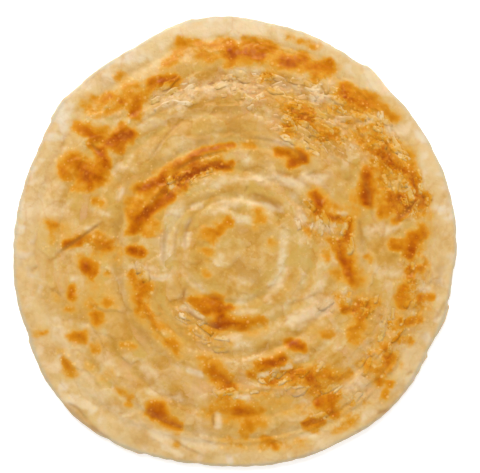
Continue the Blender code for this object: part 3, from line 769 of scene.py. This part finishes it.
# Raised lips of creases and layers are painted paler, as a painted highlight on them.
tone = dough.math("ADD", tone, dough.math("MULTIPLY", lip_highlight, 0.25))
crumb = dough.ramp(tone, (
    (0.1, srgb(204, 148, 54)), (0.35, srgb(215, 163, 76)), (0.55, srgb(223, 179, 101)),
    (0.75, srgb(231, 197, 136)), (0.95, srgb(240, 216, 170)),
))  # fmt: skip
hue = dough.math("ADD", hue, about((scrap_hue, 0.9), (small_hue, 0.5)))
crumb = dough.mix(dough.between(hue, 0.1, 1.5), crumb, srgb(226, 180, 122))
yellow_share = dough.math("MULTIPLY", dough.between(hue, -0.1, -1.2), 0.75)
crumb = dough.mix(yellow_share, crumb, srgb(216, 178, 92))
crumb = dough.mix(dough.math("MULTIPLY", flaky, 0.35), crumb, srgb(228, 166, 76))
# Near the rim the dough is paler; on the far side it is painted paler still, as painted light from the window.
rim_share = dough.math("MULTIPLY", rim, dough.math("ADD", about((cloud, 1.6), (small_tone, 0.3)), 0.85), clamp=True)
crumb = dough.mix(rim_share, crumb, srgb(235, 204, 148))
floury = dough.between(dough.math("ADD", rim, about((patches, 2.6), (blotches, 0.8))), 0.75, 1.7)
crumb = dough.mix(dough.math("MULTIPLY", floury, 0.85), crumb, srgb(243, 229, 203))
# The rim's outermost millimetre is painted greyer and darker, as painted shade on its edge.
crumb = dough.mix(dough.math("MULTIPLY", rim_edge_shade, 0.85), crumb, srgb(206, 192, 162))
# Butter-soaked places turn tan, and so do the grooves painted tan as shade.
butter_and_shade_share = dough.between(dough.math("ADD", butter_and_shade, about((blotches, 1.0))), 0.1, 0.9)
crumb = dough.mix(dough.math("MULTIPLY", butter_and_shade_share, 0.6), crumb, srgb(198, 146, 66))
# Floury places, and the painted highlights among them, turn pale.
pale_share = dough.between(dough.math("ADD", pale, about((blotches, 0.8), (specks, 0.5))), 0.1, 1.05)
crumb = dough.mix(dough.math("MULTIPLY", pale_share, 0.85), crumb, srgb(244, 218, 174))

# Toasting: golden round the marks, then orange, brown and dark brown at their hearts.
reached = dough.between(halo, 0.0, 0.45)
heat = dough.math("ADD", dough.math("MULTIPLY", browned, 0.68), dough.math("MULTIPLY", halo, 0.28))
broken = dough.math("ADD", about((blotches, 0.5), (specks, 0.25)), dough.math("MULTIPLY", hue, 0.06))
broken = dough.math("SUBTRACT", broken, dough.math("MULTIPLY", scraps_apart, 0.55))
heat = dough.math("ADD", heat, dough.math("MULTIPLY", broken, reached))
toast = dough.ramp(heat, (
    (0.1, srgb(231, 186, 100)), (0.3, srgb(231, 175, 74)), (0.48, srgb(227, 156, 36)),
    (0.64, srgb(217, 134, 8)), (0.8, srgb(203, 111, 0)), (0.98, srgb(178, 80, 0)),
))  # fmt: skip
skin = dough.mix(dough.between(heat, 0.02, 0.5), crumb, toast)
# Creases are painted a darker brown, as painted shade in them.
skin = dough.mix(dough.math("MULTIPLY", crease_shade, 0.65), skin, srgb(176, 114, 42))
# The sheets' edges are painted a warm brown, as painted shade where one sheet lies over the next.
skin = dough.mix(dough.math("MULTIPLY", sheet_edge_shade, 0.5), skin, srgb(208, 138, 44))
# Painted glints: dots of highlight colour where drops of fat and crisp tips of the layers would catch the light.
torn = dough.math("ADD", dough.math("MULTIPLY", flaky, 0.6), dough.math("MULTIPLY", reached, 0.4), clamp=True)
torn = dough.math("ADD", torn, dough.math("ADD", about((patches, 2.4)), 0.1), clamp=True)
glint = dough.mix(dough.between(heat, 0.35, 0.85), srgb(254, 214, 136), srgb(240, 166, 62))
for spacing, share in ((0.0016, 0.45), (0.0027, 0.5)):
    glint_dots = dough.math("MULTIPLY", dough.dots(here, spacing, share), torn)
    skin = dough.mix(dough.math("MULTIPLY", glint_dots, 0.75), skin, glint)
dough.links.new(skin, dough.shader.inputs["Base Color"])

dull = dough.math("ADD", about((specks, 0.4)), 0.42)
dull = dough.math("ADD", dull, dough.math("MULTIPLY", pale, 0.12))
dough.links.new(dough.math("SUBTRACT", dull, dough.math("MULTIPLY", butter_and_shade, 0.08)), dough.shader.inputs["Roughness"])
relief = dough.bump(dough.noise(here, 0.0022, 2, 0.6, 0.4), 0.0004, 0.6)
relief = dough.bump(small_tone, 0.00012, 0.6, relief)
dough.links.new(relief, dough.shader.inputs["Normal"])
dough.shader.inputs["Specular IOR Level"].default_value = 0.1
dough.shader.inputs["Subsurface Weight"].default_value = 0.45
dough.shader.inputs["Subsurface Radius"].default_value = (1.0, 0.5, 0.2)
dough.shader.inputs["Subsurface Scale"].default_value = 1.0 * MM
dough.shader.inputs["Coat Weight"].default_value = 0.06
dough.shader.inputs["Coat Roughness"].default_value = 0.2
bread.data.materials.append(dough.material)
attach(bread, "root")
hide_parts("paratha")


# ---------------------------------------------------------------------------------------------
# The torn leaves. Where the buttered layers parted on the griddle, scraps of dough as thin as
# paper stand up from the crust, still baked on along one side and crisp at the other.
# ---------------------------------------------------------------------------------------------
LEAVES = 240
LEAF_LENGTH, LEAF_WIDTH, LEAF_THICKNESS = 5.2, 2.3, 0.05  # millimetres

bpy.ops.object.select_all(action="DESELECT")
bpy.ops.mesh.primitive_grid_add(x_subdivisions=5, y_subdivisions=3, size=1.0)
leaf = bpy.context.object
leaf.scale = (LEAF_LENGTH * MM, LEAF_WIDTH * MM, 1.0)
bpy.ops.object.transform_apply(scale=True)
outline = np.array([point.co for point in leaf.data.vertices]) / MM
share_along, share_across = 2 * outline[:, 0] / LEAF_LENGTH, 2 * outline[:, 1] / LEAF_WIDTH
outline[:, 1] *= 1 - 0.3 * share_along**2
outline[:, 1] += 0.25 * np.sin(3 * share_along)
outline[:, 2] = 0.02 - 0.07 * share_across - 0.08 * share_along**2
for point, place in zip(leaf.data.vertices, outline):
    point.co = place * MM
on_edge = np.maximum(np.abs(share_along), share_across) > 0.9
# The raised side of each leaf, painted pale later as a painted highlight.
lit_tip = share_across < -0.9
leaf.data.attributes.new("leaf_edge", "FLOAT", "POINT").data.foreach_set("value", on_edge.astype(np.float32))
leaf.data.attributes.new("leaf_lit_tip", "FLOAT", "POINT").data.foreach_set("value", lit_tip.astype(np.float32))
finish_with(leaf, "SOLIDIFY", thickness=LEAF_THICKNESS * MM, offset=0.0)

draw = np.random.RandomState(8)
leaves = []
tries_x, tries_y = draw.uniform(-88, 88, 30000), draw.uniform(-90, 90, 30000)
wanted = painted(tries_x, tries_y, FLAKY_MARKS, 0.4, 4.0)
wanted[edge_distance(tries_x, tries_y) < 9] = 0.0
for i in np.flatnonzero(draw.uniform(0.35, 1, 30000) < wanted)[:LEAVES]:
    scrap = leaf.copy()
    scrap.data = leaf.data.copy()
    heading = math.atan2(tries_y[i] - COIL_CENTRE[1], tries_x[i] - COIL_CENTRE[0]) + math.pi / 2
    size = draw.uniform(0.55, 1.5)
    scrap.scale = (size * draw.uniform(0.7, 1.4), size * draw.uniform(0.7, 1.2), 1.0)
    scrap.rotation_euler = (draw.normal(0, 0.07), draw.normal(0, 0.02), heading + draw.normal(0, 0.35))
    scrap.location = (tries_x[i] * MM + middle[0], tries_y[i] * MM + middle[1], 0.0)
    own_looks = {
        "leaf_tint": draw.normal(0.2, 1.1), "leaf_hue": draw.normal(0.5, 1.0),
        "leaf_pale": draw.choice((0.0, 0.6), p=(0.9, 0.1)), "leaf_halo": draw.choice((0.0, 0.5), p=(0.72, 0.28)),
    }
    for name, value in own_looks.items():
        layer = scrap.data.attributes.new(name, "FLOAT", "POINT")
        layer.data.foreach_set("value", np.full(len(scrap.data.vertices), value, np.float32))
    bpy.context.scene.collection.objects.link(scrap)
    leaves.append(scrap)
bpy.ops.object.select_all(action="DESELECT")
for scrap in leaves:
    scrap.select_set(True)
bpy.context.view_layer.objects.active = leaves[0]
bpy.ops.object.join()
torn_leaves = bpy.context.object
torn_leaves.name = "torn_leaves"
bpy.ops.object.transform_apply(location=True, rotation=True, scale=True)
bpy.data.objects.remove(leaf)

# Each leaf lies on the crust below it and takes its colours from there.
crust = BVHTree.FromObject(bread, bpy.context.evaluated_depsgraph_get())

scraps = points_of(torn_leaves)
ragged_x, ragged_y = (ripple(scraps[:, 0] / 1.5, scraps[:, 1] / 1.5, 0 * scraps[:, 0] + seed) for seed in (60, 61))
scraps[:, 0] += 0.7 * ragged_x
scraps[:, 1] += 0.7 * ragged_y
scraps[:, 2] += low[2] / MM
corner = np.zeros(len(scraps), int)
for i, place in enumerate(scraps):
    above = Vector((place[0] * MM + middle[0], place[1] * MM + middle[1], high[2] + 0.01))
    hit, _, face, _ = crust.ray_cast(above, Vector((0, 0, -1)))
    scraps[i, 2] += (hit[2] - low[2]) / MM
    corner[i] = bread.data.polygons[face].vertices[0]
scraps[:, 2] = under_roof(scraps[:, 2])
put_points(torn_leaves, scraps)
leaf_looks = {name: values[corner] for name, values in looks.items()}
for name in ("tint", "hue", "pale", "halo"):
    held = np.empty(len(scraps), np.float32)
    torn_leaves.data.attributes["leaf_" + name].data.foreach_get("value", held)
    leaf_looks[name] = leaf_looks[name] * 0.6 + held
    torn_leaves.data.attributes.remove(torn_leaves.data.attributes["leaf_" + name])
on_edge = np.empty(len(scraps), np.float32)
torn_leaves.data.attributes["leaf_edge"].data.foreach_get("value", on_edge)
torn_leaves.data.attributes.remove(torn_leaves.data.attributes["leaf_edge"])
# The leaves' own edges are painted a warm brown, as painted shade.
leaf_looks["sheet_edge_shade"] = 0.6 * on_edge
lit_tip = np.empty(len(scraps), np.float32)
torn_leaves.data.attributes["leaf_lit_tip"].data.foreach_get("value", lit_tip)
torn_leaves.data.attributes.remove(torn_leaves.data.attributes["leaf_lit_tip"])
# The leaves' raised, crisp side is painted pale, as a painted highlight.
leaf_looks["pale"] = np.maximum(leaf_looks["pale"], 0.65 * lit_tip)
# The crust along the leaves' edges is painted a warm brown, as painted contact shadow round them.
borders = KDTree(len(scraps))
for i, place in enumerate(scraps):
    if on_edge[i] > 0.5 or lit_tip[i] > 0.5:
        borders.insert(place, i)
borders.balance()
close = np.full(len(points), 9.0)
crust_points = points_of(bread)
for i in np.flatnonzero((looks["flaky"] > 0.05) & (upward > 0.5)):
    close[i] = borders.find(crust_points[i])[2]
leaf_contact_shade = np.maximum(looks["sheet_edge_shade"], 0.8 * np.exp(-((close / 0.5) ** 2)))
bread.data.attributes["sheet_edge_shade"].data.foreach_set("value", leaf_contact_shade.astype(np.float32))
leaf_looks["browned"] = leaf_looks["browned"] * 0.7
colour_with(torn_leaves, leaf_looks)
torn_leaves.data.shade_smooth()
# They are too thin for light to spread inside them.
thin_dough = dough.material.copy()
thin_dough.name = "thin_dough"
thin_dough.node_tree.nodes["Principled BSDF"].inputs["Subsurface Weight"].default_value = 0.0
torn_leaves.data.materials.append(thin_dough)
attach(torn_leaves, "root")
